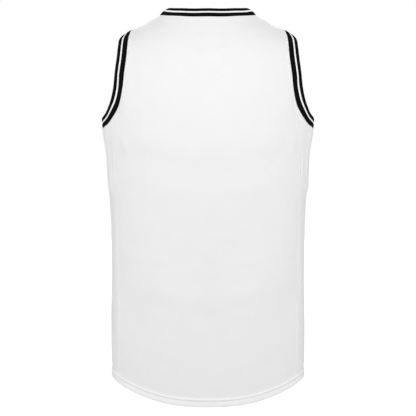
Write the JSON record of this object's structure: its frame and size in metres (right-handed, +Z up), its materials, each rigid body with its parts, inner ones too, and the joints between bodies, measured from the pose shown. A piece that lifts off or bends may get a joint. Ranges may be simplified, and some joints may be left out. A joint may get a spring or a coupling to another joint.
{
  "type": "basketball jersey",
  "caption": "Sleeveless sports jersey in plain knit, filled out as worn and hollow, with round neck, striped rib bands at neck and armholes, and a shirt-tail hem.",
  "frame": {"origin": "between the two shoulders, at the height of the middle of the straps, where a wearer holds the jersey up", "axes": "+Z up, +Y towards the back of the jersey, so the front faces -Y, and +X towards the wearer's left"},
  "size_m": [0.4132, 0.2445, 0.767],
  "materials": {
    "white_knit": "plain white polyester mesh knit, matt with a faint sheen",
    "striped_rib": "doubled rib knit, black with a white stripe along its middle"
  },
  "bodies": {
    "root": {"back_panel": "white_knit", "front_panel": "white_knit", "neck_band": "striped_rib", "armhole_band_left": "striped_rib", "armhole_band_right": "striped_rib"}
  },
  "joints": []
}
